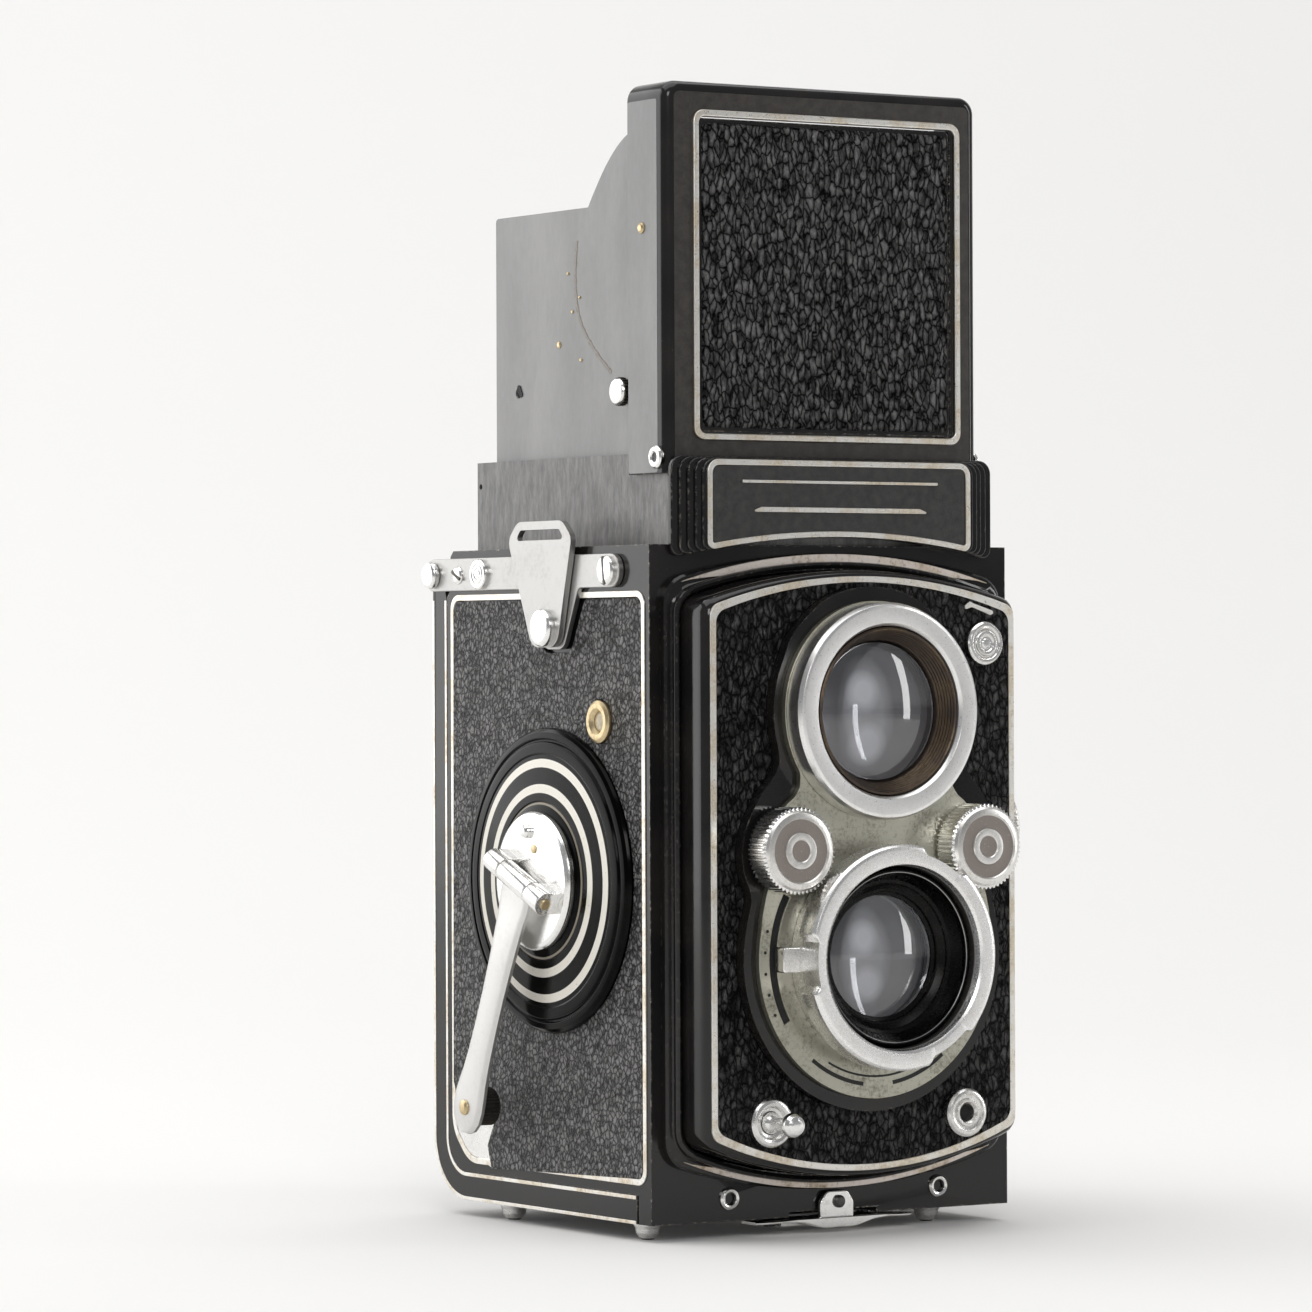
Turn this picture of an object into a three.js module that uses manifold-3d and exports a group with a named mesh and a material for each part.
// Twin lens reflex camera, 6 x 6 cm on roll film, with its folding viewing hood open.
// Millimetres, +Z up. The lenses face -Y. The winding crank is on the -X side, called left here,
// and the focusing knob on the +X side, called right.
// Heights are counted from the underside of the body; the whole group is shifted at the end
// so that the origin is the centre of the footprint, on the plane of the feet.
import * as THREE from "three";
import { mergeVertices } from "three/addons/utils/BufferGeometryUtils.js";
import Module from "manifold-3d";

const manifold = await Module();
manifold.setup();

// ---------- driving dimensions ----------
// Centres are [y, z] for parts that turn about x, [x, z] about y and [x, y] about z.
const FINENESS = 0.44; // share of the stated facets that is built

// body
const SIDE = 37.4; // half width of the body
const FRONT = -33.4; // front face of the body
const BACK = 38.8; // outer face of the back
const DECK = 116; // top deck
const WALL = 2;
const CORNER = 11; // radius of the lower rear corner
const DOOR_BAND = 4.8; // width of the side flange of the back
const DOOR_HINGE = [36.6, 111.7];
const TRIPOD = [0, -4];
const FOOT_HEIGHT = 3;

// lens board
const VIEW_AXIS = [0, 87.4];
const TAKE_AXIS = [0, 45.4];
const BOARD_Y = -43.5; // front face
const BOARD_HALF = 32.7; // half width
const BOARD_LOW = [14.0, 7.4]; // lower edge: height at its ends and its middle
const BOARD_HIGH = [106.4, 111.6]; // upper edge, likewise
const BOARD_WALL = 1.3;
const BOARD_REAR = -28.8;
const COLLAR_Y = -36.5; // front of the collar round the board
const HOUSING_Y = BOARD_Y - 2.5; // front of the lens housing
const PLATE_Y = -47.2; // front of the face plate
const PLATE_SEAT = PLATE_Y - 0.03; // rear of the parts mounted on it
const VIEW_RING_Y = -51.6; // front of the viewing lens ring
const BAYONET_Y = -55.5; // front of the bayonet ring
const WHEEL_X = 19.5;
const WHEEL_Z = 63.9;
const WHEEL_R = 7.4;
const RELEASE = [-20.2, 17.5];
const SOCKET = [20.4, 17.5];
const PLUG = [25, 99];

// controls and film transport
const CRANK = [-2.0, 57.9];
const CRANK_DISC_R = 26.7;
const CRANK_PIN_X = -44.4; // axis of the crank's folding hinge
const CRANK_TILT = Math.atan2(7.4, 17); // tilt of that hinge in the side plane
const CRANK_LENGTH = 44; // from the disc axis to the handle
const KNOB = [-16, 66]; // focusing knob
const KNOB_R = 9.2; // its knurled grip
const KNOB_FLANGE_R = 15; // its dial flange
const COUNTER = [-18.1, 85.7]; // frame counter window
const SPOOL_LOW = [-15.3, 16.7];
const SPOOL_HIGH = [22, 87.2];
const SPOOL_R = 12.6;
const SPOOL_HALF = 32.4;
const ROLLER_Y = 31.2;
const ROLLER_HEIGHTS = { lower: 9.6, upper: 76.7 };

// hood
const BASE_HALF = 31.7;
const BASE_FRONT = -31.7;
const BASE_REAR = 32.5;
const BASE_TOP = 131.9;
const BASE_WALL = 1.2;
const LID_PIVOT = [-29.2, 131];
const LID_HALF = 32.8;
const LID_FRONT = -31.7;
const LID_LOW = 128.2;
const LID_HIGH = 195.5;
const LID_DEPTH = 11.9;
const LID_WALL = 0.8;
const FLAP_HALF = 26.6;
const FLAP_LOW = 135.4;
const FLAP_HIGH = 189.2;
const LEAF_X = 30.3; // outer face of a side leaf
const LEAF_WALL = 0.4;
const FOLD_LEFT = 129.5; // fold lines, stepped so the leaves stack
const FOLD_RIGHT = 128.3;
const FOLD_REAR = 127.1;
const REAR_LEAF_Y = 28.9;
const REAR_LEAF_TOP = 175.7;

// ---------- solids ----------
function solid(source) {
  const bare = source.clone();
  bare.deleteAttribute("normal");
  bare.deleteAttribute("uv");
  const merged = mergeVertices(bare, 1e-4);
  const index = merged.index.array;
  const triangles = [];
  for (let i = 0; i < index.length; i += 3) {
    const [a, b, c] = index.slice(i, i + 3);
    if (a !== b && b !== c && a !== c) triangles.push(a, b, c);
  }
  return new manifold.Manifold(
    new manifold.Mesh({
      numProp: 3,
      vertProperties: new Float32Array(merged.attributes.position.array),
      triVerts: new Uint32Array(triangles),
    }),
  );
}

const join = (first, ...others) => others.reduce((sum, part) => sum.add(part), first);
const cut = (first, ...others) => others.reduce((rest, part) => rest.subtract(part), first);
const mirroredX = (shape) => shape.mirror([1, 0, 0]);
const bothSides = (shape) => shape.add(mirroredX(shape));
const centred = (half) => [-half, half];
const facets = (count, least) => Math.max(least, Math.round(count * FINENESS));

// axis changes for extrusions (drawn along local z) and turned parts (drawn round local y)
const EXTRUDED = {
  x: new THREE.Matrix4().set(0, 0, 1, 0, 1, 0, 0, 0, 0, 1, 0, 0, 0, 0, 0, 1),
  y: new THREE.Matrix4().set(0, 1, 0, 0, 0, 0, 1, 0, 1, 0, 0, 0, 0, 0, 0, 1),
  z: new THREE.Matrix4(),
};
const TURNED = {
  x: ([y, z]) => new THREE.Matrix4().set(0, 1, 0, 0, 0, 0, 1, y, 1, 0, 0, z, 0, 0, 0, 1),
  y: ([x, z]) => new THREE.Matrix4().makeTranslation(x, 0, z),
  z: ([x, y]) => new THREE.Matrix4().set(1, 0, 0, x, 0, 0, -1, y, 0, 1, 0, 0, 0, 0, 0, 1),
};

// extrudes an outline: axis x takes [y, z] points, axis y takes [x, z], axis z takes [x, y]
function prism(axis, outline, from, to, holes = []) {
  const points = outline
    .filter(([u, v], i) => {
      const [lastU, lastV] = outline.at(i - 1);
      return Math.hypot(u - lastU, v - lastV) > 2e-3;
    })
    .map(([u, v]) => (axis === "y" ? new THREE.Vector2(v, u) : new THREE.Vector2(u, v)));
  const options = { depth: to - from, bevelEnabled: false, steps: 1 };
  const geometry = new THREE.ExtrudeGeometry(new THREE.Shape(points), options);
  geometry.translate(0, 0, from);
  geometry.applyMatrix4(EXTRUDED[axis]);
  return cut(solid(geometry), ...holes.map((hole) => prism(axis, hole, from - 1, to + 1)));
}

// turned part; profile points are [radius, distance along the axis]
function turned(axis, centre, profile, count = 36) {
  const isRing = profile[0][0] > 0;
  const points = (isRing ? [...profile, profile[0]] : profile)
    .map(([radius, along]) => new THREE.Vector2(radius, along));
  const geometry = new THREE.LatheGeometry(points, facets(count, 12));
  geometry.applyMatrix4(TURNED[axis](centre));
  const shape = solid(geometry);
  if (shape.volume() >= 0) return shape;
  // the profile ran the other way round: turn the faces outwards
  const index = geometry.index.array;
  for (let i = 0; i < index.length; i += 3) {
    [index[i + 1], index[i + 2]] = [index[i + 2], index[i + 1]];
  }
  return solid(geometry);
}
// the same about x and about y, with distances counted outwards from a side of the body
// (-1 left, 1 right) or forwards from the front of the lens board
const turnedOnSide = (side, centre, profile, count) =>
  turned("x", centre, profile.map(([radius, out]) => [radius, side * (SIDE + out)]), count);
const turnedOnBoard = (centre, profile, count) =>
  turned("y", centre, profile.map(([radius, out]) => [radius, BOARD_Y - out]), count);

// ---------- outlines ----------
const polar = ([u, v], radius, angle) =>
  [u + radius * Math.cos(angle), v + radius * Math.sin(angle)];
const arc = (centre, radius, fromDegrees, toDegrees, steps) =>
  Array.from({ length: steps + 1 }, (_, i) => {
    const degrees = fromDegrees + ((toDegrees - fromDegrees) * i) / steps;
    return polar(centre, radius, THREE.MathUtils.degToRad(degrees));
  });
const circle = (centre, radius, count) => {
  const length = facets(count, 10);
  return Array.from({ length }, (_, i) => polar(centre, radius, (2 * Math.PI * i) / length));
};

// rounds the corners of an outline; radius is one value, or a list with one for each corner
function rounded(outline, radius, count = 4) {
  const steps = facets(count, 1);
  return outline.flatMap((point, i) => {
    const wanted = Array.isArray(radius) ? radius[i] : radius;
    if (!wanted) return [point];
    const corner = new THREE.Vector2(...point);
    const back = new THREE.Vector2(...outline.at(i - 1)).sub(corner);
    const ahead = new THREE.Vector2(...outline[(i + 1) % outline.length]).sub(corner);
    const angle = back.angleTo(ahead);
    if (angle > THREE.MathUtils.degToRad(172)) return [point];
    const slope = Math.tan(angle / 2);
    const reach = Math.min(wanted / slope, back.length() * 0.48, ahead.length() * 0.48);
    const fitted = reach * slope;
    back.normalize();
    ahead.normalize();
    const centre = back.clone().add(ahead).setLength(fitted / Math.sin(angle / 2)).add(corner);
    const start = back.multiplyScalar(reach).add(corner).sub(centre);
    const end = ahead.multiplyScalar(reach).add(corner).sub(centre);
    const startAngle = Math.atan2(start.y, start.x);
    let sweep = Math.atan2(end.y, end.x) - startAngle;
    if (sweep > Math.PI) sweep -= 2 * Math.PI;
    if (sweep < -Math.PI) sweep += 2 * Math.PI;
    return Array.from({ length: steps + 1 }, (_, k) =>
      polar([centre.x, centre.y], fitted, startAngle + (sweep * k) / steps));
  });
}
function rect([u0, u1], [v0, v1], radius = 0) {
  return rounded([[u0, v0], [u1, v0], [u1, v1], [u0, v1]], radius);
}

// a bowed edge from -x to +x, given its height at the ends and at the middle
const BOW_STEPS = 8;
function bow(half, zEnd, zMiddle) {
  const rise = zMiddle - zEnd;
  const sign = Math.sign(rise);
  const radius = (half * half + rise * rise) / (2 * Math.abs(rise));
  return Array.from({ length: BOW_STEPS + 1 }, (_, i) => {
    const x = -half + (2 * half * i) / BOW_STEPS;
    return [x, zMiddle + sign * (Math.sqrt(radius * radius - x * x) - radius)];
  });
}
// an upright outline with a bowed top and bottom edge, rounded where they meet the sides
function arched(half, [lowEnd, lowMiddle], [highEnd, highMiddle], radius) {
  const outline = [...bow(half, lowEnd, lowMiddle), ...bow(half, highEnd, highMiddle).reverse()];
  const corners = [0, BOW_STEPS, BOW_STEPS + 1, 2 * BOW_STEPS + 1];
  return rounded(outline, outline.map((_, i) => (corners.includes(i) ? radius : 0)));
}
// the outline of the lens board, drawn in at its sides, edge ends and edge middles
const boardOutline = (side, end, middle, radius) =>
  arched(
    BOARD_HALF - side,
    [BOARD_LOW[0] + end, BOARD_LOW[1] + middle],
    [BOARD_HIGH[0] - end, BOARD_HIGH[1] - middle],
    radius,
  );
// lower rear contour of the body, from the bottom to the back
const lowerRear = (inset) => arc([BACK - CORNER, CORNER], CORNER - inset, -90, 0, 8);

// ---------- simple shapes ----------
const box = (xSpan, ySpan, zSpan) => prism("z", rect(xSpan, ySpan), ...zSpan);
const cyl = (axis, centre, radius, from, to, count = 32) =>
  prism(axis, circle(centre, radius, count), from, to);
// a bore's polygon is drawn round its radius, so a shaft of that radius still turns in it
const around = (radius, count) => radius / Math.cos(Math.PI / facets(count, 10));
const bore = (axis, centre, radius, from, to, count = 24) =>
  cyl(axis, centre, around(radius, count), from, to, count);
function knurled(axis, centre, radius, depth, from, to, count) {
  const teeth = Math.round(count * FINENESS);
  const outline = Array.from({ length: teeth * 2 }, (_, i) =>
    polar(centre, i % 2 ? radius - depth : radius, (Math.PI * i) / teeth));
  return prism(axis, outline, from, to);
}

// ---------- finishes and meshes ----------
const FINISHES = {
  enamel: { color: "#0d0d0f", roughness: 0.18, metalness: 0.1 },
  satin: { color: "#1a1a1b", roughness: 0.45, metalness: 0.1 },
  leather: { color: "#1c1c1d", roughness: 0.8, metalness: 0 },
  nickel: { color: "#c9c6bd", roughness: 0.28, metalness: 1 },
  chrome: { color: "#dedede", roughness: 0.15, metalness: 1 },
  aged: { color: "#a8a493", roughness: 0.4, metalness: 0.9 },
  grey: { color: "#8d8e90", roughness: 0.5, metalness: 0.5 },
  glass: { color: "#5c6468", roughness: 0.05, metalness: 0.1 },
  mirror: { color: "#e8ecee", roughness: 0.03, metalness: 1 },
  brass: { color: "#a98a4f", roughness: 0.35, metalness: 1 },
  steel: { color: "#8f9092", roughness: 0.4, metalness: 1 },
  film: { color: "#2c2c30", roughness: 0.6, metalness: 0 },
};
const assembly = new THREE.Group();
assembly.name = "tlr_camera_assembly";
function add(name, shape, finish) {
  const { vertProperties, triVerts } = shape.getMesh();
  const geometry = new THREE.BufferGeometry();
  const positions = new Float32Array(vertProperties);
  geometry.setAttribute("position", new THREE.BufferAttribute(positions, 3));
  geometry.setIndex(new THREE.BufferAttribute(new Uint32Array(triVerts), 1));
  const material = new THREE.MeshStandardMaterial({ ...FINISHES[finish], flatShading: true });
  const mesh = new THREE.Mesh(geometry, material);
  mesh.name = name;
  assembly.add(mesh);
}

// ---------- body casting ----------
const BOARD_HOLE = boardOutline(-0.3, -0.3, -0.3, 3); // opening for the lens board
const CORE_X = 30.2; // outer face of the inner cheeks
const CHEEK_X = 29; // their inner face
const CORE_FRONT = -27.6;
const MIRROR_LINE = [[-26.2, 61.3], [27.4, 112.0]]; // [y, z] ends of the mirror shelf
const BAND_INNER = DOOR_BAND + 0.1; // the casting clears the flange of the back
const SIDE_OUTLINE = [
  [FRONT, 0], [-29.4, 0], [-29.4, BAND_INNER], ...lowerRear(BAND_INNER),
  [BACK - BAND_INNER, 107.6], [32.6, 109.2], [32.6, 115], [31.6, DECK], [FRONT, DECK],
];
const CHEEK_OUTLINE = [
  [CORE_FRONT, 112], [CORE_FRONT, 33], [-8, 31], [33.4, 14.4], [33.4, 74.4],
  [14, 73.4], [7.5, 79], [7.5, 93.5], [27.5, 112],
];
// seat of the side coverings
const COVERING_SEAT = rounded(
  [[-31.2, 7.6], [26.2, 7.6], [31.4, 12.8], [31.4, 107.2], [-31.2, 107.2]],
  [2, 5, 5, 2, 2],
);

// a plate across the core between two [y, z] points, its thickness laid to the left of the line
function slab(start, end, thickness) {
  const dy = end[0] - start[0];
  const dz = end[1] - start[1];
  const scale = thickness / Math.hypot(dy, dz);
  const shifted = ([y, z]) => [y - dz * scale, z + dy * scale];
  return prism("x", [start, end, shifted(end), shifted(start)], ...centred(CORE_X));
}

// cheeks, two floor plates, partition, mirror shelf, film gate, and posts to the side walls
function innerCore() {
  const post = (ySpan, zSpan) => bothSides(box([CORE_X - 0.2, SIDE - 1], ySpan, zSpan));
  const plates = join(
    bothSides(prism("x", CHEEK_OUTLINE, CHEEK_X, CORE_X)),
    slab([CORE_FRONT, 33], [-8, 31], 1.2),
    slab([-8.2, 31.05], [33.3, 14.45], 1.2),
    slab([CORE_FRONT, 57.2], [33.3, 74.5], -1.2),
    slab(...MIRROR_LINE, -1.2),
    box(centred(CORE_X), [32.2, 33.4], [12.6, 74.2]),
  );
  const gateHalf = 27.8;
  const gateOpening = [TAKE_AXIS[1] - gateHalf, TAKE_AXIS[1] + gateHalf];
  return join(
    cut(plates, box(centred(28), [30, 36], gateOpening)),
    post([CORE_FRONT + 0.2, -25.4], [36, 46]),
    post([30.8, 33.2], [30, 60]),
    post([-6, 6], [DECK - 5, DECK - 1]),
    post([-24, -20], [100, 108]),
  );
}

function bodyCasting() {
  let body = prism("x", SIDE_OUTLINE, ...centred(SIDE));
  body = cut(body, box(centred(SIDE - WALL), [FRONT + WALL, 60], [-5, DECK - WALL]));
  body = join(body, box(centred(SIDE - 0.5), [FRONT, FRONT + WALL], [0, 3.2]));
  body = cut(body, prism("y", BOARD_HOLE, FRONT - 1, FRONT + WALL + 0.1));
  body = join(body, innerCore());
  // deck opening under the focusing screen, and the seats of the coverings
  body = cut(body, box(centred(28.4), [-27, 28.4], [DECK - 6, DECK + 1]));
  body = cut(body, bothSides(prism("x", COVERING_SEAT, SIDE - 0.6, SIDE + 1)));
  // bores through the side walls
  for (const [centre, radius] of [[CRANK, 4.15], [COUNTER, 2.6]]) {
    body = cut(body, bore("x", centre, radius, -SIDE - 1, -SIDE + 4));
  }
  for (const centre of [KNOB, SPOOL_LOW, SPOOL_HIGH]) {
    body = cut(body, bore("x", centre, 3.15, SIDE - 4, SIDE + 1));
  }
  // way for the focusing shaft through the cheeks, and the film roller seats
  body = cut(body, bore("x", KNOB, 2.2, -32, 32, 20));
  for (const z of Object.values(ROLLER_HEIGHTS)) {
    body = cut(body, bore("x", [ROLLER_Y, z], 1.28, ...centred(SIDE - 0.9), 16));
  }
  // relief in the lower edge for the latch
  body = cut(body, box(centred(9.2), [FRONT - 1, -29], [-1, 0.9]));
  // centre pin of the lower spool on the left wall
  const pinRoot = -SIDE + WALL - 0.2;
  const pin = [[0, pinRoot], [2.2, pinRoot], [2.2, -33], [1.7, -31.2], [0, -31.2]];
  body = join(body, turned("x", SPOOL_LOW, pin, 16));
  // two eyelets on the front, beside the latch
  const eyelet = [
    [0.95, FRONT + 0.6], [1.75, FRONT + 0.6], [1.75, FRONT - 0.4],
    [1.4, FRONT - 0.6], [0.95, FRONT - 0.4],
  ];
  for (const x of [-21.6, 22.2]) body = join(body, turned("y", [x, 3.9], eyelet, 20));
  return body;
}
add("body_casting", bodyCasting(), "satin");

// collar round the lens board: a wide base and a narrower face
function frontCollar() {
  const base = arched(35.3, [BOARD_LOW[0] - 3.5, 4.7], [BOARD_HIGH[0] + 3.5, 114.7], 6);
  const face = boardOutline(-1.3, -1.6, -1.6, 5);
  return join(
    prism("y", base, FRONT - 1.6, FRONT - 0.03, [BOARD_HOLE]),
    prism("y", face, COLLAR_Y, FRONT - 1.5, [BOARD_HOLE]),
  );
}
add("front_collar", frontCollar(), "enamel");

// ---------- side coverings and strap brackets ----------
const SIDE_COVERING = COVERING_SEAT.map(([y, z]) => [
  y + (y > 0 ? -0.12 : 0.12),
  z + (z > 50 ? -0.12 : 0.12),
]);
// strap bracket: a bar, and a tapered tongue behind the lug
const BRACKET_OUTLINE = rounded(
  [
    [-25.6, 108.8], [-12.3, 108.8], [-7.4, 98.2], [-1.2, 98.2],
    [3.4, 108.8], [39.5, 108.8], [39.5, 114.6], [-25.6, 114.6],
  ],
  [2.8, 1.5, 2.4, 2.4, 1.5, 2.8, 2.8, 2.8],
);
// clearance for it in the covering
const BRACKET_CUT = rounded(
  [
    [-26, 108.5], [-12.5, 108.5], [-7.6, 97.9], [-1, 97.9],
    [3.6, 108.5], [40, 108.5], [40, 118], [-26, 118],
  ],
  [2.8, 1.5, 2.6, 2.6, 1.5, 0, 0, 2.8],
);
// clearances are [centre, radius, facets]
function sideCovering(side, clearances) {
  const onSide = (low, high) => (side < 0 ? [-SIDE - high, -SIDE - low] : [SIDE + low, SIDE + high]);
  return cut(
    prism("x", SIDE_COVERING, ...onSide(-0.55, 0.1)),
    ...clearances.map(([centre, radius, count]) =>
      cyl("x", centre, radius, ...onSide(-1, 1), count)),
    prism("x", BRACKET_CUT, ...onSide(-1, 1)),
  );
}
const LEFT_CLEARANCES = [[CRANK, CRANK_DISC_R - 0.5, 40], [COUNTER, 3.9, 24]];
const RIGHT_CLEARANCES = [[KNOB, 6, 32], [SPOOL_LOW, 6.2, 32], [SPOOL_HIGH, 6.2, 32]];
add("side_covering_left", sideCovering(-1, LEFT_CLEARANCES), "leather");
add("side_covering_right", sideCovering(1, RIGHT_CLEARANCES), "leather");

const BRACKET_SCREWS = [ // y, z, radius, height above the side
  [-22.0, 111.7, 2.6, 2.1],
  [20.2, 111.7, 2.7, 2.0],
  [28.0, 111.6, 1.5, 1.8],
];
function strapBracket() {
  let bracket = prism("x", BRACKET_OUTLINE, -SIDE - 1.1, -SIDE + 0.54);
  bracket = cut(
    bracket,
    box([-SIDE - 0.05, -SIDE + 1], [31.5, 41], [100, 120]), // clear of the casting at the rear
    box([-SIDE - 0.04, -SIDE + 1], [-26, 40], [107.2, 118]), // and above the covering seat
  );
  for (const [y, z, radius, height] of BRACKET_SCREWS) {
    const head = [
      [0, 1], [radius, 1], [radius, height - 0.35], [radius - 0.4, height], [0, height],
    ];
    bracket = join(bracket, turnedOnSide(-1, [y, z], head, 24));
  }
  // slot of the front screw, and the hinge bore
  const slotY = BRACKET_SCREWS[0][0];
  bracket = cut(bracket, box([-SIDE - 3, -SIDE - 1.7], [slotY - 0.25, slotY + 0.25], [108, 115]));
  return cut(bracket, bore("x", DOOR_HINGE, 1.14, -SIDE - 3, -SIDE + 1, 20));
}
const leftBracket = strapBracket();
add("strap_bracket_left", leftBracket, "nickel");
add("strap_bracket_right", mirroredX(leftBracket), "nickel");

// tapered plate with a strap slot, held by a domed stud
function strapLug() {
  const outline = rounded(
    [[-12.3, 117.6], [-9.2, 120.6], [5.6, 120.6], [8.8, 117.4], [1.0, 98.6], [-7.4, 98.6]],
    [1.4, 2, 2, 1.4, 3, 3],
  );
  const slot = rounded([[-9.6, 117.2], [-8.0, 118.9], [4.4, 118.9], [6.0, 117.2]], 0.6, 2);
  const stud = [[0, 2.3], [3.2, 2.3], [3.2, 3.5], [2.6, 3.9], [0, 3.9]];
  return join(
    prism("x", outline, -SIDE - 2.4, -SIDE - 1.25, [slot]),
    turnedOnSide(-1, [-3.6, 102.0], stud, 28),
  );
}
const leftLug = strapLug();
add("strap_lug_left", leftLug, "nickel");
add("strap_lug_right", mirroredX(leftLug), "nickel");

const COUNTER_PROFILE = [
  [1.5, -0.4], [2.5, -0.4], [2.5, -0.1], [3.6, -0.1], [3.6, 0.7], [3.0, 1.1], [2.2, 1.1], [1.5, 0.5],
];
add("counter_bezel", turnedOnSide(-1, COUNTER, COUNTER_PROFILE, 28), "brass");

// ---------- hood base, screen, mirror, name plate ----------
function hoodBase() {
  const inside = centred(BASE_HALF - BASE_WALL);
  const frontCut = [127.8, BASE_TOP + 1]; // the front wall stops short of the top
  const pinRoot = BASE_HALF - 1.6;
  const pivotPin = [[0, pinRoot], [1.3, pinRoot], [1.3, 32.9], [1.9, 32.9], [1.7, 33.5], [0, 33.5]];
  const base = cut(
    box(centred(BASE_HALF), [BASE_FRONT, BASE_REAR], [DECK + 0.03, BASE_TOP]),
    box(inside, [BASE_FRONT + BASE_WALL, BASE_REAR - BASE_WALL], [DECK - 1, BASE_TOP + 1]),
    box(centred(BASE_HALF + 1), [BASE_FRONT - 1, -30.6], frontCut),
    box(inside, [BASE_FRONT - 1, -20], frontCut),
    cyl("x", [31.4, 127.6], 0.5, -BASE_HALF - 1, -BASE_HALF + 2, 12),
  );
  return join(base, bothSides(turned("x", LID_PIVOT, pivotPin, 20)));
}
add("hood_base", hoodBase(), "grey");

const SCREEN_OUTLINE = rect(centred(29.2), [-28.6, 29.4], 0.8);
add("focusing_screen", prism("z", SCREEN_OUTLINE, DECK + 0.05, DECK + 2.05), "glass");

// lies on the shelf, 0.06 clear of it and short of both its ends
function reflexMirror() {
  const [[y0, z0], [y1, z1]] = MIRROR_LINE;
  const length = Math.hypot(y1 - y0, z1 - z0);
  const uy = (y1 - y0) / length;
  const uz = (z1 - z0) / length;
  const at = (along, above) => [y0 + uy * along - uz * above, z0 + uz * along + uy * above];
  const [low, high] = [1.5, length - 2.2];
  const outline = [at(low, 0.06), at(high, 0.06), at(high, 2.0), at(low, 2.0)];
  return prism("x", outline, ...centred(28.8));
}
add("reflex_mirror", reflexMirror(), "mirror");

// name plate: stepped ends, bowed lower edge, sunk field
const NAME_HALF = 33.6;
const NAME_LOW = 113.6;
const NAME_REAR = -33.5;
const NAME_STEPS = [[32.2, -35.1], [30.8, -35.6], [29.6, -36.1], [28.3, -36.6]]; // half width, y
function nameOutline(half, lowEnd, lowMiddle, top, radius) {
  const outline = [...bow(half, lowEnd, lowMiddle), [half, top], [-half, top]];
  const radii = outline.map((_, i) => (i === 0 || i >= BOW_STEPS ? radius : 0));
  return rounded(outline, radii, 3);
}
function namePlate() {
  const step = ([half, y]) => {
    const lowEnd = NAME_LOW + (NAME_HALF - half) * 0.22;
    return prism("y", nameOutline(half, lowEnd, 117.4, 131.1, 2.2), y, NAME_REAR);
  };
  const plate = join(
    prism("y", nameOutline(NAME_HALF, NAME_LOW, 117.3, 131.2, 2.2), -34.6, NAME_REAR),
    ...NAME_STEPS.map(step),
  );
  return join(
    cut(plate, prism("y", nameOutline(26.9, 116.2, 118.6, 129.8, 1.6), -38, -36.2)),
    box(centred(26), [NAME_REAR - 0.1, BASE_FRONT - 0.04], [118.5, 127]), // block behind
    // plain bar in place of a name
    prism("y", [[-17, 122.3], [17, 122.3], [14.5, 123.1], [-14.5, 123.1]], -36.55, -36.0),
  );
}
add("name_plate", namePlate(), "enamel");

// ---------- lens board ----------
// openings for both lenses and the two wheel shafts, through board, housing and face plate
const LENS_OPENINGS = [
  cyl("y", VIEW_AXIS, 14.9, -60, -40, 40),
  cyl("y", TAKE_AXIS, 15.75, -60, -40, 40),
  ...[-1, 1].map((side) => bore("y", [side * WHEEL_X, WHEEL_Z], 2.6, -60, -40, 20)),
];
function lensBoard() {
  const outside = boardOutline(0, 0, 0, 2.7);
  const inside = boardOutline(BOARD_WALL, BOARD_WALL, BOARD_WALL, 1.6);
  return cut(
    prism("y", outside, BOARD_Y, BOARD_REAR),
    prism("y", inside, BOARD_Y + 1.5, BOARD_REAR + 1),
    prism("y", boardOutline(1.3, 1.5, 1.4, 2), BOARD_Y - 1, BOARD_Y + 0.5), // covering seat
    ...LENS_OPENINGS,
    bore("y", RELEASE, 1.97, BOARD_Y - 1, BOARD_Y + 3),
    cyl("y", SOCKET, 2.6, BOARD_Y - 1, BOARD_Y + 3, 24),
  );
}
add("lens_board", lensBoard(), "enamel");

// points of a circle with x < 0 and z between two limits, from the top down
const leftArc = (centre, radius, count, low, high) =>
  circle(centre, radius, count)
    .filter(([x, z]) => x < 0 && z > low && z < high)
    .sort((a, b) => b[1] - a[1]);
// completes a left half outline, given from the top down, with a middle point and its mirror
const mirroredOutline = (half) => [
  ...half,
  [0, half.at(-1)[1] - 0.35],
  ...half.slice().reverse().map(([x, z]) => [-x, z]),
];
const HOUSING_OUTLINE = mirroredOutline([
  [-7.2, 108.7], [-16.4, 101.2],
  ...leftArc(VIEW_AXIS, 20.4, 48, 80, 97),
  [-19.2, 77.5], [-23.6, 72.8], [-26.8, 66.6], [-26.9, 60.4], [-24.8, 56.2],
  ...leftArc(TAKE_AXIS, 26.7, 60, -Infinity, 54.5),
]);
const housing = prism("y", HOUSING_OUTLINE, HOUSING_Y, BOARD_Y + 0.45);
add("lens_housing", cut(housing, ...LENS_OPENINGS), "enamel");

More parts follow.
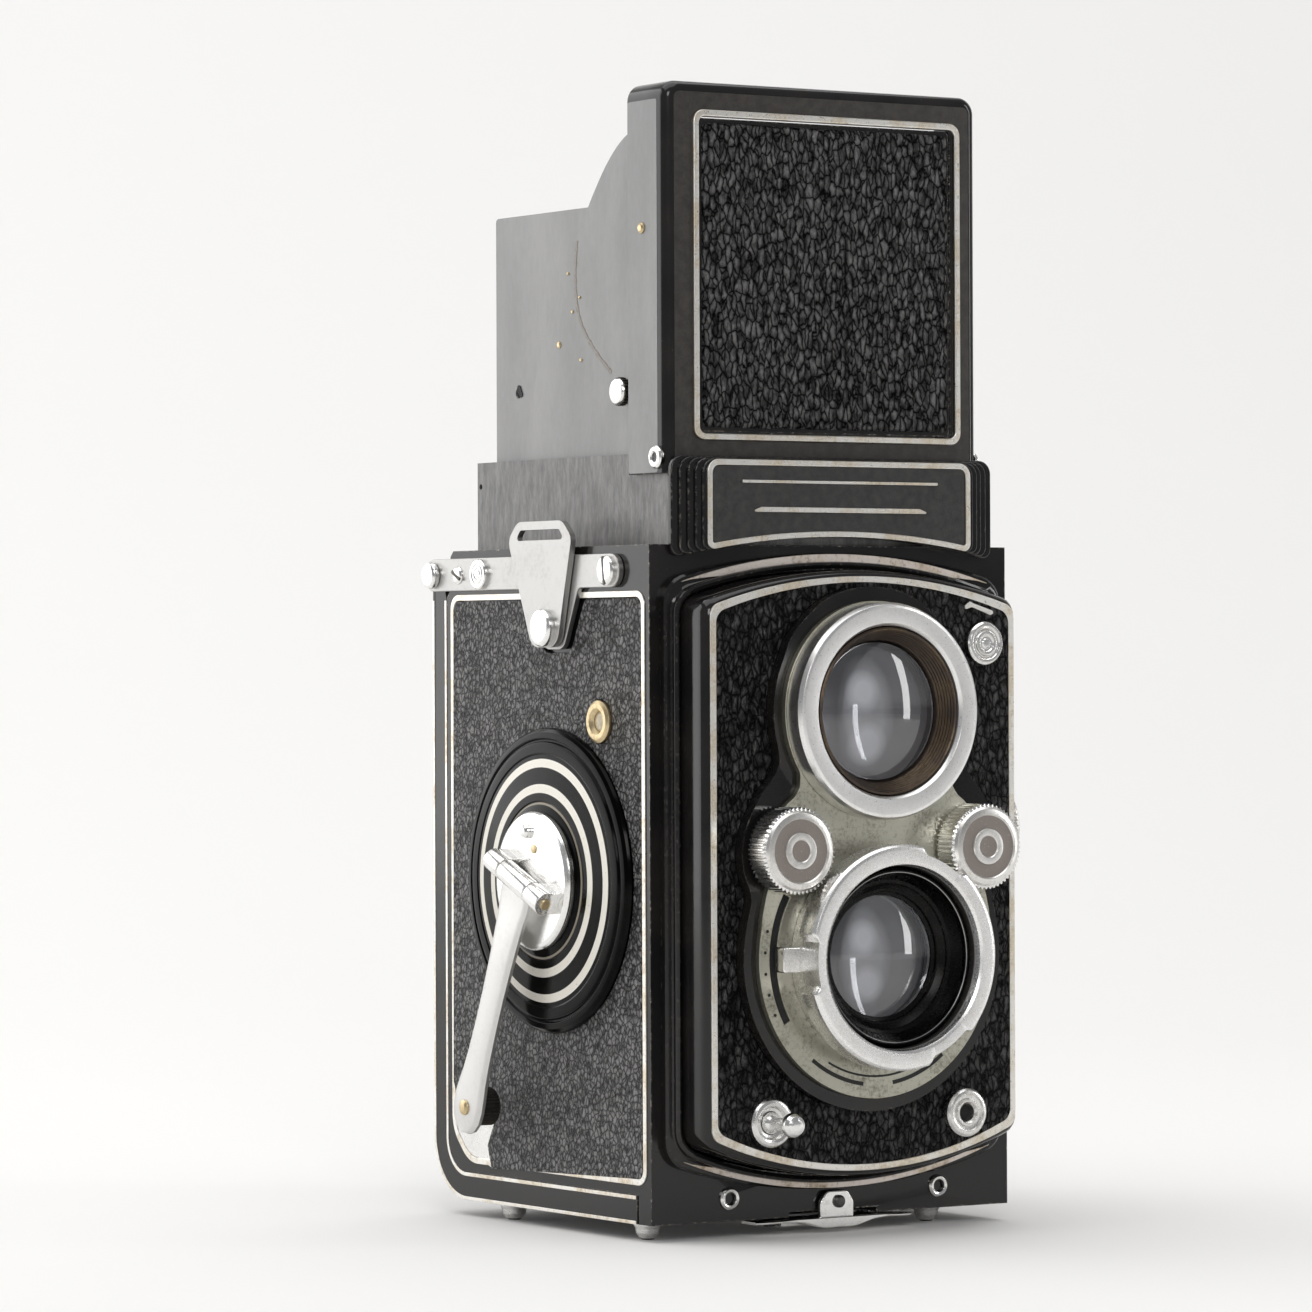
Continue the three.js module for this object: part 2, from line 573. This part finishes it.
function boardCovering() {
  // the housing outline grown outwards by the gap
  const gap = 0.12;
  const grown = HOUSING_OUTLINE.map(([x, z]) => {
    let centreZ = z;
    if (z > 72) centreZ = VIEW_AXIS[1];
    if (z < 55) centreZ = TAKE_AXIS[1];
    const distance = Math.hypot(x, z - centreZ);
    return [x + (x / distance) * gap, z + ((z - centreZ) / distance) * gap];
  });
  const [from, to] = [BOARD_Y - 2, BOARD_Y + 2];
  return cut(
    prism("y", boardOutline(1.42, 1.62, 1.52, 1.9), BOARD_Y - 0.15, BOARD_Y + 0.45),
    prism("y", grown, from, to),
    cyl("y", RELEASE, 4.2, from, to, 28),
    cyl("y", SOCKET, 4.2, from, to, 28),
    cyl("y", PLUG, 4.1, from, to, 24),
  );
}
add("board_covering", boardCovering(), "leather");

// plate over the housing, with a curved recess on each side of the taking lens
function facePlate() {
  const outline = mirroredOutline([
    ...leftArc(VIEW_AXIS, 18.9, 48, 76.5, Infinity),
    [-16.0, 73.6], [-19.6, 70.9], [-21.6, 66.2], [-21.6, 60.6], [-23.6, 53.4],
    ...leftArc(TAKE_AXIS, 24.4, 60, -Infinity, 51.5),
  ]);
  const recess = [
    ...arc(TAKE_AXIS, 22.2, 150, 210, 10),
    ...arc(TAKE_AXIS, 20.9, 150, 210, 10).reverse(),
  ];
  return cut(
    prism("y", outline, PLATE_Y, HOUSING_Y - 0.04),
    ...LENS_OPENINGS,
    bothSides(prism("y", recess, -60, BOARD_Y - 3.0)),
  );
}
add("face_plate", facePlate(), "aged");

// ---------- lenses and shutter ----------
// faces are [y of the vertex, bulge], the bulge positive outwards
const GLASS_STEPS = 3;
function glass(centre, radius, [frontY, frontBulge], [rearY, rearBulge], count) {
  const face = (vertex, depth) =>
    Array.from({ length: GLASS_STEPS + 1 }, (_, i) => {
      const share = i / GLASS_STEPS;
      return [radius * share, vertex + depth * share ** 2];
    });
  const profile = [...face(frontY, frontBulge), ...face(rearY, -rearBulge).reverse()];
  return turned("y", centre, profile, count);
}

const VIEW_RING_PROFILE = [
  [14.6, PLATE_SEAT], [18.6, PLATE_SEAT], [18.6, VIEW_RING_Y + 1.0],
  [18.0, VIEW_RING_Y], [14.9, VIEW_RING_Y], [14.6, VIEW_RING_Y + 0.6],
];
const VIEW_BARREL_PROFILE = [
  [11.9, -36.2], [14.3, -36.2], [14.3, -50.9], [13.5, -51.0], [13.1, -48.4], [11.9, -47.6],
];
add("viewing_ring", turned("y", VIEW_AXIS, VIEW_RING_PROFILE, 48), "nickel");
add("viewing_barrel", turned("y", VIEW_AXIS, VIEW_BARREL_PROFILE, 40), "satin");
add("viewing_glass_front", glass(VIEW_AXIS, 11.5, [-49.6, 2.2], [-44.6, 0.4], 36), "glass");
add("viewing_glass_rear", glass(VIEW_AXIS, 11.5, [-40.4, -0.8], [-36.6, 1.2], 32), "glass");

// ring round the taking lens, its flange notched in three places, with a tab on the -x side
function bayonetRing() {
  const profile = [
    [15.6, PLATE_SEAT], [17.9, PLATE_SEAT], [17.9, -50.6], [19.3, -51.0],
    [19.3, BAYONET_Y + 0.6], [18.7, BAYONET_Y], [16.3, BAYONET_Y], [15.7, -53.6], [15.6, -50.0],
  ];
  const notches = [62, 182, 302].map((degrees) => {
    const edge = (radius) => arc(TAKE_AXIS, radius, degrees - 13, degrees + 13, 4);
    return prism("y", [...edge(21), ...edge(18.5).reverse()], -60, -50.55);
  });
  const tabHeights = [TAKE_AXIS[1] - 2.2, TAKE_AXIS[1] + 2.2];
  return join(
    cut(turned("y", TAKE_AXIS, profile, 48), ...notches),
    box([-21.4, -17.4], [-50.2, PLATE_SEAT], tabHeights),
  );
}
add("bayonet_ring", bayonetRing(), "nickel");

const TAKE_BARREL_PROFILE = [
  [10.6, -43.4], [15.2, -43.4], [15.2, -53.0], [14.5, -53.2],
  [13.9, -50.2], [11.2, -48.6], [10.6, -48.2],
];
const SHUTTER_FRONT = BOARD_Y + 1.55;
const SHUTTER_PROFILE = [
  [12.4, SHUTTER_FRONT], [23.4, SHUTTER_FRONT], [23.4, -32.6], [12.4, -32.6],
];
const IRIS_BLADES = 8;
const IRIS_HOLE = Array.from({ length: IRIS_BLADES }, (_, i) =>
  polar(TAKE_AXIS, 6.4, (2 * Math.PI * i) / IRIS_BLADES));
add("taking_barrel", turned("y", TAKE_AXIS, TAKE_BARREL_PROFILE, 44), "satin");
add("taking_glass_front", glass(TAKE_AXIS, 10.2, [-49.4, 1.6], [-44.4, 0.2], 36), "glass");
add("shutter_drum", turned("y", TAKE_AXIS, SHUTTER_PROFILE, 44), "satin");
const irisRim = circle(TAKE_AXIS, 11.9, 40);
add("iris_diaphragm", prism("y", irisRim, -39.4, -38.8, [IRIS_HOLE]), "steel");
add("taking_glass_rear", glass(TAKE_AXIS, 11.9, [-37.6, 0.6], [-33.0, 1.4], 36), "glass");

// ---------- controls on the lens board ----------
function settingWheel(side) {
  const centre = [side * WHEEL_X, WHEEL_Z];
  const face = [
    [0, -51.9], [7.0, -51.9], [6.7, -52.7], [5.6, -53.0], [5.2, -52.5],
    [2.6, -52.5], [2.4, -53.0], [1.6, -53.0], [1.4, -52.6], [0, -52.6],
  ];
  return join(
    knurled("y", centre, WHEEL_R, 0.35, -52.0, -47.25, 40),
    turned("y", centre, face, 32),
    cyl("y", centre, 2.5, -47.4, -42.0, 20),
  );
}
add("aperture_wheel", settingWheel(-1), "nickel");
add("speed_wheel", settingWheel(1), "nickel");

const RELEASE_COLLAR_PROFILE = [
  [2.0, -0.45], [4.1, -0.45], [4.1, 1.2], [3.6, 1.7], [3.0, 1.6], [2.6, 0.9], [2.0, 0.9],
];
const RELEASE_BUTTON_PROFILE = [
  [0, -1.45], [1.6, -1.45], [1.9, -1.2], [1.9, 1.0], [1.2, 1.6], [1.2, 5.6],
  [1.75, 6.2], [2.1, 7.2], [1.9, 8.2], [1.2, 8.9], [0, 9.1],
];
const SOCKET_PROFILE = [
  [1.5, -1.4], [2.5, -1.4], [2.5, -0.45], [4.1, -0.45], [4.1, 1.4],
  [3.6, 1.9], [3.0, 1.9], [2.7, 1.2], [1.5, 1.0],
];
const PLUG_PROFILE = [
  [0, -0.45], [3.7, -0.45], [3.7, 1.1], [3.3, 1.5], [2.4, 1.3], [1.6, 1.6], [0, 1.5],
];
add("release_collar", turnedOnBoard(RELEASE, RELEASE_COLLAR_PROFILE, 28), "nickel");
add("release_button", turnedOnBoard(RELEASE, RELEASE_BUTTON_PROFILE, 24), "chrome");
add("cable_socket", turnedOnBoard(SOCKET, SOCKET_PROFILE, 28), "nickel");
add("board_plug", turnedOnBoard(PLUG, PLUG_PROFILE, 28), "nickel");

// ---------- focusing ----------
function focusKnob() {
  const profile = [
    [0, 1.0], [5.8, 1.0], [5.8, 2.2], [KNOB_FLANGE_R, 2.2], [KNOB_FLANGE_R, 3.6],
    [KNOB_FLANGE_R - 0.8, 4.2], [8.6, 4.3], [8.6, 9.3], [8.0, 10.0], [4, 10.0],
    [3.4, 9.6], [0, 9.6],
  ];
  return join(
    knurled("x", KNOB, KNOB_R, 0.35, SIDE + 4.4, SIDE + 9.2, 56),
    turnedOnSide(1, KNOB, profile, 44),
  );
}
add("focus_knob", focusKnob(), "nickel");

// stepped shaft with a spiral cam near each end
function focusShaft() {
  const camPoints = 18;
  const cam = Array.from({ length: camPoints }, (_, i) => {
    const radius = 4.2 + (3.6 * i) / (camPoints - 1);
    return polar(KNOB, radius, (2 * Math.PI * i) / camPoints + 2.2);
  });
  return join(
    cyl("x", KNOB, 2.1, -33.6, SIDE + 0.95, 24),
    cyl("x", KNOB, 3.05, 35.0, SIDE + 0.95, 24),
    bothSides(prism("x", cam, 31.4, 33.4)),
  );
}
add("focus_shaft", focusShaft(), "steel");

// ---------- winding crank ----------
const DISC_PROFILE = [
  [0, -0.35], [CRANK_DISC_R - 1.6, -0.35], [CRANK_DISC_R - 1.6, 0.15], [CRANK_DISC_R, 0.15],
  [CRANK_DISC_R, 1.2], [CRANK_DISC_R - 0.8, 1.9], [12.4, 3.0], [0, 3.0],
];
const crankDisc = join(
  turnedOnSide(-1, CRANK, DISC_PROFILE, 52),
  cyl("x", CRANK, 4.1, -SIDE + 0.3, -SIDE + 3.4, 24),
);
add("crank_disc", crankDisc, "enamel");

// the [y, z] point at a distance along the folding hinge and a distance down the crank arm
const TILT_COS = Math.cos(CRANK_TILT);
const TILT_SIN = Math.sin(CRANK_TILT);
const onCrank = (along, down) => [
  CRANK[0] + TILT_COS * along + TILT_SIN * down,
  CRANK[1] + TILT_SIN * along - TILT_COS * down,
];
// cylinder along the folding hinge
function alongHinge(radius, from, to, count = 20) {
  const geometry = new THREE.CylinderGeometry(radius, radius, to - from, facets(count, 10));
  geometry.translate(0, (from + to) / 2, 0);
  const placement = new THREE.Matrix4().makeBasis(
    new THREE.Vector3(0, -TILT_SIN, TILT_COS),
    new THREE.Vector3(0, TILT_COS, TILT_SIN),
    new THREE.Vector3(-1, 0, 0),
  );
  placement.setPosition(CRANK_PIN_X, ...CRANK);
  geometry.applyMatrix4(placement);
  return solid(geometry);
}

// round hub with two ears that carry the hinge barrel, and a small stud
function crankHub() {
  let hub = turnedOnSide(-1, CRANK, [[0, 3.04], [12.1, 3.04], [12.1, 4.0], [11.5, 4.6], [0, 4.6]], 40);
  for (const [from, to] of [[-9.4, -4.8], [4.8, 9.4]]) {
    const ear = [onCrank(from, -2), onCrank(to, -2), onCrank(to, 2), onCrank(from, 2)];
    hub = join(hub, prism("x", ear, CRANK_PIN_X, -SIDE - 4.5), alongHinge(2.0, from, to, 24));
  }
  hub = cut(hub, alongHinge(around(1.02, 20), -12, 12));
  const stud = [[0, 4.5], [1.1, 4.5], [1.1, 5.4], [0.6, 5.8], [0, 5.8]];
  return join(hub, turnedOnSide(-1, [CRANK[0] + 1.0, CRANK[1] + 8.6], stud, 16));
}
add("crank_hub", crankHub(), "nickel");
add("crank_hinge_pin", alongHinge(1.0, -9.7, 9.7), "brass");

const ARM_STATIONS = [ // half width, distance down the arm, corner radius
  [4.6, -2.0, 0], [4.6, 4.5, 1], [3.9, 12, 3], [3.5, 26, 6],
  [3.9, 38, 3], [4.5, 44, 3], [2.6, 48.6, 3],
];
const HANDLE = onCrank(0, CRANK_LENGTH);
function crankArm() {
  const stations = [
    ...ARM_STATIONS,
    ...ARM_STATIONS.slice().reverse().map(([half, down, radius]) => [-half, down, radius]),
  ];
  const outline = rounded(
    stations.map(([along, down]) => onCrank(along, down)),
    stations.map(([, , radius]) => radius),
    3,
  );
  const atHandle = (profile) =>
    turned("x", HANDLE, profile.map(([radius, dx]) => [radius, CRANK_PIN_X + dx]), 16);
  let arm = prism("x", outline, CRANK_PIN_X - 0.6, CRANK_PIN_X + 0.6);
  arm = join(arm, alongHinge(2.0, -4.6, 4.6, 24));
  arm = cut(arm, alongHinge(around(1.06, 20), -12, 12));
  return join(
    arm,
    atHandle([[0, 0.5], [1.4, 0.5], [1.4, 5.3], [0, 5.3]]), // pin of the handle
    atHandle([[0, -0.5], [1.3, -0.5], [1.0, -1.1], [0, -1.1]]), // its head outside the arm
  );
}
add("crank_arm", crankArm(), "nickel");
const crankHandle = cut(
  knurled("x", HANDLE, 3.3, 0.25, CRANK_PIN_X + 0.75, CRANK_PIN_X + 5.2, 26),
  bore("x", HANDLE, 1.47, CRANK_PIN_X, CRANK_PIN_X + 8, 16),
);
add("crank_handle", crankHandle, "steel");

// ---------- film transport ----------
function spool(centre, woundRadius) {
  const inner = SPOOL_HALF - 0.9; // inner face of a flange
  const profile = [
    [2.9, -SPOOL_HALF], [SPOOL_R, -SPOOL_HALF], [SPOOL_R, -inner], [woundRadius, -inner],
    [woundRadius, inner], [SPOOL_R, inner], [SPOOL_R, SPOOL_HALF], [2.9, SPOOL_HALF],
  ];
  return turned("x", centre, profile, 32);
}
add("supply_spool", spool(SPOOL_LOW, 9.6), "film");
// the take-up spool carries the winding key that turns it
const KEY_ROOT = -SIDE + WALL + 0.1;
const KEY_PROFILE = [
  [0, KEY_ROOT], [4.4, KEY_ROOT], [4.4, -32.3], [3.0, -32.3], [3.0, -29.8], [0, -29.8],
];
const windingKey = turned("x", SPOOL_HIGH, KEY_PROFILE, 20);
add("takeup_spool", join(spool(SPOOL_HIGH, 6.4), windingKey), "film");

const ROLLER_PROFILE = [
  [0, -36.2], [1.2, -36.2], [1.2, -28.8], [2.2, -28.8],
  [2.2, 28.8], [1.2, 28.8], [1.2, 36.2], [0, 36.2],
];
for (const [place, z] of Object.entries(ROLLER_HEIGHTS)) {
  add(`film_roller_${place}`, turned("x", [ROLLER_Y, z], ROLLER_PROFILE, 20), "steel");
}

function spoolKnob(centre) {
  const shaft = [
    [0, 29.9], [2.8, 29.9], [2.8, SIDE + 0.3], [3.0, SIDE + 0.3], [3.0, SIDE + 0.35],
    [0, SIDE + 0.35],
  ];
  const face = [[0, 2.5], [6.2, 2.5], [5.8, 3.3], [2.4, 3.3], [2.0, 2.9], [0, 2.9]];
  return join(
    turned("x", centre, shaft, 20),
    knurled("x", centre, 6.6, 0.3, SIDE + 0.3, SIDE + 2.6, 36),
    turnedOnSide(1, centre, face, 32),
  );
}
add("spool_knob_lower", spoolKnob(SPOOL_LOW), "nickel");
add("spool_knob_upper", spoolKnob(SPOOL_HIGH), "nickel");

// ---------- hinged back ----------
const DOOR_FRONT = -28.9;
const LATCH_PIVOT = [-28.2, -1.3];
const FEET = [[-33.4, -26.0], [25.0, -26.0], [-33.4, 18], [33.4, 18]];
const FOOT_PROFILE = [
  [0, 0.5], [2.1, 0.5], [2.1, -0.8], [1.8, -2.2], [1.1, -FOOT_HEIGHT], [0, -FOOT_HEIGHT],
];
function backDoor() {
  const [hingeY] = DOOR_HINGE;
  const outline = [
    [DOOR_FRONT, 0], ...lowerRear(0), [BACK, 108.6], [BACK + 0.1, 110.6], [BACK - 0.6, 113.0],
    [hingeY, 114.2], [hingeY - 2.2, 112.8], [hingeY - 1.8, 109.4], [BACK - DOOR_BAND, 107.4],
    ...lowerRear(DOOR_BAND).reverse(), [DOOR_FRONT, DOOR_BAND],
  ];
  const hollow = [
    [DOOR_FRONT - 1, WALL], ...lowerRear(WALL), [BACK - WALL, 107.3],
    [BACK - DOOR_BAND - 2, 107.3], [BACK - DOOR_BAND - 2, 60], [20, 8], [-30, 8],
  ];
  let door = prism("x", outline, ...centred(SIDE));
  door = cut(door, prism("x", hollow, ...centred(SIDE - WALL)));
  // strips along the front edge, each side of the latch
  door = join(door, bothSides(box([9.6, SIDE - WALL - 0.3], [-31.2, -28.8], [0, 0.85])));
  door = cut(door, bore("x", DOOR_HINGE, 1.2, -40, 40, 20), cyl("z", TRIPOD, 6.1, -1, 3, 28));
  // feet, then the latch pin and its two brackets
  return join(
    door,
    ...FEET.map((centre) => turned("z", centre, FOOT_PROFILE, 20)),
    cyl("x", LATCH_PIVOT, 0.5, ...centred(10.4), 16),
    bothSides(box([9.0, 10.6], [-28.85, -27.5], [-1.9, 0.9])),
  );
}

function backHingePin() {
  const leftEnd = [ // radius, distance out from the side of the body
    [0, 2.6], [2.0, 2.6], [2.4, 2.2], [2.4, 1.15], [1.1, 1.15],
  ];
  const profile = [
    ...leftEnd.map(([radius, out]) => [radius, -SIDE - out]),
    ...leftEnd.slice().reverse().map(([radius, out]) => [radius, SIDE + out]),
  ];
  return turned("x", DOOR_HINGE, profile, 24);
}
add("back_hinge_pin", backHingePin(), "nickel");

const BACK_COVERING = rect(centred(34.6), [12.4, 106.6], 2);
add("back_covering", prism("y", BACK_COVERING, BACK + 0.04, BACK + 0.64), "leather");

const pressurePlate = join(
  prism("y", rect(centred(30.6), [12.4, 78], 3), 34.1, 35.2),
  box(centred(6), [35.1, BACK - WALL - 0.04], [30, 60]),
);
add("pressure_plate", pressurePlate, "satin");

function tripodSocket() {
  const flange = [[0, -1.0], [9.2, -1.0], [9.5, -0.6], [9.5, -0.04], [0, -0.04]];
  const outside = join(turned("z", TRIPOD, flange, 36), cyl("z", TRIPOD, 6, -0.5, 3.4, 28));
  return cut(outside, cyl("z", TRIPOD, 4.6, -2, 2.4, 28));
}
add("tripod_socket", tripodSocket(), "nickel");

// latch: a wavy lever under the front edge with a lip that catches the front
function backLatch() {
  const lever = [
    [-15.6, -0.5], [-9, -0.2], [-8.6, -0.15], [8.6, -0.15], [9, -0.2], [15.6, -0.5],
    [16.4, -1.5], [13, -1.6], [9, -1.9], [4, -2.3], [0, -2.4],
    [-4, -2.3], [-9, -1.9], [-13, -1.6], [-16.4, -1.5],
  ];
  const lip = [[-3.4, -1], [3.4, -1], [3.4, 2.6], [2.0, 4.2], [-2.0, 4.2], [-3.4, 2.6]];
  const latch = join(
    prism("y", lever, -35.6, -29.4),
    box(centred(8.4), [-29.6, -28.2], [-2.0, -0.7]),
    prism("y", rounded(lip, 1.2, 3), FRONT - 1.3, FRONT - 0.35),
    cyl("x", LATCH_PIVOT, 1.1, ...centred(8.4), 20),
  );
  return cut(latch, bore("x", LATCH_PIVOT, 0.56, -20, 20, 20));
}
add("back_latch", backLatch(), "chrome");
add("back_door", backDoor(), "enamel");

// ---------- hood lid, flap and magnifier ----------
const LID_INNER = LID_FRONT + LID_WALL; // inner face of the lid's front
const LID_REAR = LID_FRONT + LID_DEPTH;
function hoodLid() {
  const insideX = centred(LID_HALF - LID_WALL);
  const outline = rounded(rect(centred(LID_HALF), [LID_LOW, LID_HIGH]), [0.4, 0.4, 2.6, 2.6]);
  const holeX = centred(FLAP_HALF + 0.15);
  const holeZ = [FLAP_LOW - 0.15, FLAP_HIGH + 0.15];
  const rim = rect(centred(FLAP_HALF + 1.4), [FLAP_LOW - 1.4, FLAP_HIGH + 1.4], 2);
  let lid = cut(
    box(centred(LID_HALF), [LID_FRONT, LID_REAR], [LID_LOW, LID_HIGH]),
    box(insideX, [LID_INNER, LID_REAR + 1], [LID_LOW - 1, LID_HIGH - LID_WALL]),
  );
  lid = lid.intersect(prism("y", outline, LID_FRONT - 1, LID_REAR + 1));
  lid = cut(lid, box(holeX, [LID_FRONT - 1, LID_INNER + 0.01], holeZ));
  lid = join(lid, prism("y", rim, LID_FRONT - 0.5, LID_FRONT + 0.1, [rect(holeX, holeZ)]));
  return cut(lid, bore("x", LID_PIVOT, 1.38, ...centred(LID_HALF + 1), 20));
}
add("hood_lid", hoodLid(), "enamel");

const flapCovering = box(
  centred(FLAP_HALF - 1),
  [LID_FRONT - 0.5, LID_FRONT + 0.06],
  [FLAP_LOW + 1, FLAP_HIGH - 1],
);
add("flap_covering", flapCovering, "leather");

const MAGNIFIER_Y = LID_INNER + 1.05; // mid-plane
const MAGNIFIER_HINGE_Z = 184;
const MAGNIFIER_HINGE = [MAGNIFIER_Y, MAGNIFIER_HINGE_Z];
const MAGNIFIER_AXIS = [0, 160];
function magnifierFrame() {
  const low = MAGNIFIER_AXIS[1] - 13;
  const top = MAGNIFIER_HINGE_Z;
  const outline = rounded(
    [[-13, low], [13, low], [13, top - 2], [8, top], [-8, top], [-13, top - 2]],
    [4, 4, 2, 1, 1, 2],
    3,
  );
  return cut(
    join(
      prism("y", outline, MAGNIFIER_Y - 0.6, MAGNIFIER_Y + 0.6),
      cyl("x", MAGNIFIER_HINGE, 0.9, -8, 8, 16),
    ),
    bothSides(box([8.4, 14], [MAGNIFIER_Y - 2, MAGNIFIER_Y + 2], [top - 1.9, top + 2])),
    bore("x", MAGNIFIER_HINGE, 0.46, -20, 20, 12),
    cyl("y", MAGNIFIER_AXIS, 10.6, -40, 0, 32),
  );
}
add("magnifier_frame", magnifierFrame(), "satin");
const magnifierLens = glass(
  MAGNIFIER_AXIS, 10.2, [MAGNIFIER_Y - 0.85, 0.5], [MAGNIFIER_Y + 0.85, 0.5], 32,
);
add("magnifier_lens", magnifierLens, "glass");

// flap with a sunk front; it carries the magnifier's hinge pin between two brackets
function sportsFlap() {
  const sunkZ = [FLAP_LOW + 0.9, FLAP_HIGH - 0.9];
  const bracketY = [LID_INNER - 0.3, MAGNIFIER_Y + 0.6];
  const bracketZ = [MAGNIFIER_HINGE_Z - 0.8, MAGNIFIER_HINGE_Z + 0.8];
  const flap = cut(
    box(centred(FLAP_HALF), [LID_FRONT - 0.35, LID_INNER - 0.1], [FLAP_LOW, FLAP_HIGH]),
    box(centred(FLAP_HALF - 0.9), [LID_FRONT - 1, LID_FRONT + 0.1], sunkZ),
  );
  return join(
    flap,
    cyl("x", MAGNIFIER_HINGE, 0.4, -10, 10, 12),
    bothSides(box([8.8, 10.2], bracketY, bracketZ)),
  );
}
add("sports_flap", sportsFlap(), "enamel");

// ---------- hood walls ----------
const LEAF_CURVE = [ // y, z of the rear edge of the curved leaf, upwards
  [18.9, 129.8], [17.2, 138.4], [14.0, 148.6], [9.6, 158.0], [4.0, 166.7],
  [-1.6, 173.9], [-5.5, 178.9], [-9.6, 183.4], [-14.2, 186.8], [-18.2, 188.2],
];
// left wall: a curved leaf outside, a rectangular leaf inside it, and the fold rod
function sideWall(fold) {
  const curved = [
    [-22.4, fold],
    [18.9, fold],
    ...LEAF_CURVE.filter(([, z]) => z > fold + 1).map(([y, z]) => [y, Math.min(z, fold + 58.2)]),
    [-22.4, fold + 58.4],
  ];
  const straight = rect([-8, REAR_LEAF_Y], [fold, REAR_LEAF_TOP]);
  return join(
    prism("x", curved, -LEAF_X, -LEAF_X + LEAF_WALL + 0.02),
    prism("x", straight, -LEAF_X + LEAF_WALL, -LEAF_X + 2 * LEAF_WALL),
    cyl("y", [-LEAF_X + 0.4, fold], 0.42, -22.4, 28.8, 12),
  );
}
// the left wall also has a small hole and a knurled knob low on the curved leaf
function leftWall() {
  const knob = [-15.6, 142.8];
  return join(
    cut(sideWall(FOLD_LEFT), cyl("x", [19.8, 144.1], 1.1, -LEAF_X - 1, -LEAF_X + 2, 16)),
    cyl("x", knob, 1.0, -LEAF_X - 1.0, -LEAF_X + 0.1, 24),
    knurled("x", knob, 2.5, 0.2, -LEAF_X - 2.6, -LEAF_X - 0.9, 28),
  );
}
add("hood_wall_left", leftWall(), "grey");
add("hood_wall_right", mirroredX(sideWall(FOLD_RIGHT)), "grey");
const rearWall = join(
  box(centred(29.2), [REAR_LEAF_Y - 0.6, REAR_LEAF_Y - 0.1], [FOLD_REAR, REAR_LEAF_TOP]),
  cyl("x", [REAR_LEAF_Y - 0.35, FOLD_REAR], 0.42, ...centred(29.2), 12),
);
add("hood_wall_rear", rearWall, "grey");

// ---------- placing ----------
const bounds = new THREE.Box3().setFromObject(assembly);
const middle = bounds.getCenter(new THREE.Vector3());
assembly.position.set(-middle.x, -middle.y, -bounds.min.z);
const group = new THREE.Group();
group.name = "tlr_camera";
group.add(assembly);
export default group;
